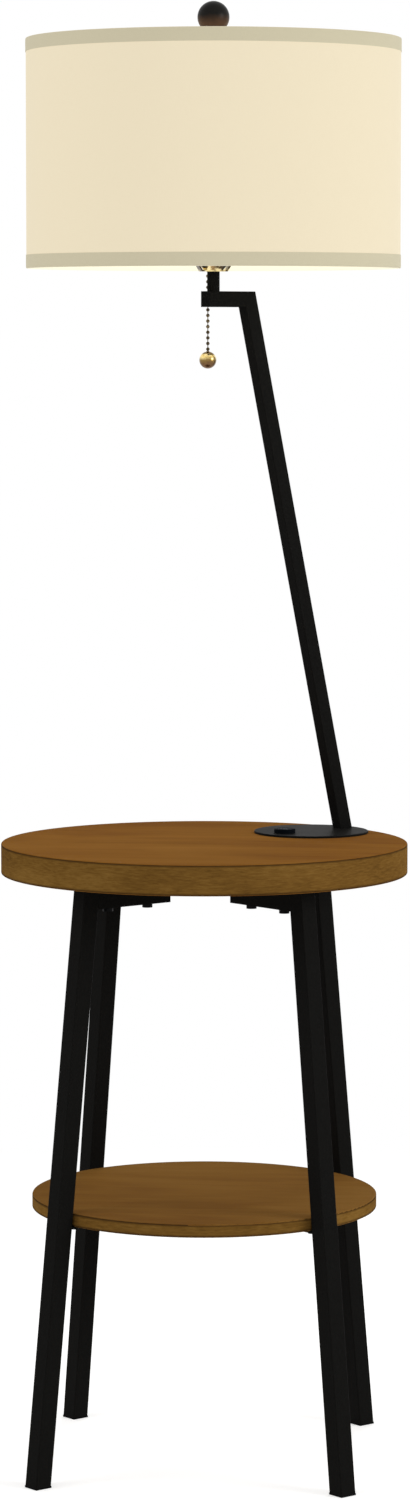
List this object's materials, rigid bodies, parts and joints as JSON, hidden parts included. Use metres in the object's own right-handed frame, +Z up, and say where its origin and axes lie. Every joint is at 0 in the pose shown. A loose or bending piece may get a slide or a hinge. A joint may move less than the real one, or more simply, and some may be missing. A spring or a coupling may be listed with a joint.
{
  "type": "floor lamp with table",
  "caption": "Floor lamp with a round end table and lower shelf on splayed legs, a leaning pole, a drum shade and a pull chain.",
  "frame": {"origin": "on the floor, on the round table's vertical axis", "axes": "+Z up, -Y towards the front, +X to the right; the legs stand on the diagonals and the pole rises over the back right leg"},
  "size_m": [0.416, 0.416, 1.4915],
  "materials": {
    "walnut": "satin",
    "black_metal": "satin",
    "black_plastic": "matte",
    "black_steel": "satin",
    "zinc_steel": "satin",
    "rubber": "matte",
    "brass": "polished",
    "liner_card": "matte",
    "phenolic": "matte",
    "lamp_glass": "frosted",
    "lamp_base": "satin",
    "linen": "woven",
    "linen_tape": "woven",
    "white_wire": "satin",
    "dark_bronze": "polished"
  },
  "bodies": {
    "frame": {"table_top": "walnut", "lower_shelf": "walnut", "leg_front_left": "black_metal", "leg_front_right": "black_metal", "leg_back_left": "black_metal", "leg_back_right": "black_metal", "rail_front_left": "black_metal", "rail_front_right": "black_metal", "rail_back_left": "black_metal", "rail_back_right": "black_metal", "shelf_tabs": "black_metal", "base_plate": "black_metal", "pole": "black_metal", "lamp_arm": "black_metal", "riser_tube": "black_metal", "foot_glides": "black_plastic", "rail_end_plugs": "black_plastic", "arm_end_cap": "black_plastic", "port_housing": "black_plastic", "rail_bolts": "black_steel", "shelf_screws": "black_steel", "plate_studs": "zinc_steel", "stud_washers": "zinc_steel", "stud_nuts": "zinc_steel", "port_contacts": "zinc_steel", "cord_grommet": "rubber", "harp_saddle": "brass", "socket_cap": "brass", "socket_shell": "brass", "screw_shell": "brass", "centre_contact": "brass", "threaded_nipple": "brass", "harp": "brass", "harp_sleeves": "brass", "harp_stud": "brass", "chain_bell": "brass", "socket_liner": "liner_card", "socket_core": "phenolic"},
    "shade": {"shade_drum": "linen", "fitter_hub": "white_wire", "fitter_spokes": "white_wire", "top_ring": "white_wire", "bottom_ring": "white_wire", "top_trim": "linen_tape", "bottom_trim": "linen_tape"},
    "finial": {"finial": "dark_bronze"},
    "bulb": {"bulb_base": "lamp_base", "bulb_glass": "lamp_glass"},
    "chain_top": {"chain_top": "brass"},
    "pull_chain": {"pull_chain": "brass", "pull_ball": "brass"}
  },
  "joints": [
    {"name": "shade_turn", "type": "hinge", "parent": "frame", "child": "shade", "pos_m": [0.00848, 0.00848, 1.4423], "axis": [0, 0, 1], "continuous": true},
    {"name": "finial_turn", "type": "hinge", "parent": "frame", "child": "finial", "pos_m": [0.00848, 0.00848, 1.445], "axis": [0, 0, 1], "continuous": true},
    {"name": "bulb_turn", "type": "hinge", "parent": "frame", "child": "bulb", "pos_m": [0.00848, 0.00848, 1.27], "axis": [0, 0, 1], "continuous": true},
    {"name": "chain_pull", "type": "slide", "parent": "frame", "child": "chain_top", "axis": [0, 0, -1], "range_m": [0, 0.01], "stiffness_N_per_m": 600, "springref_m": -0.002},
    {"name": "chain_swing", "type": "hinge", "parent": "chain_top", "child": "pull_chain", "pos_m": [0.0009, 0.0286, 1.2409], "axis": [0.7071, 0.7071, 0], "range_deg": [-10, 35]}
  ]
}
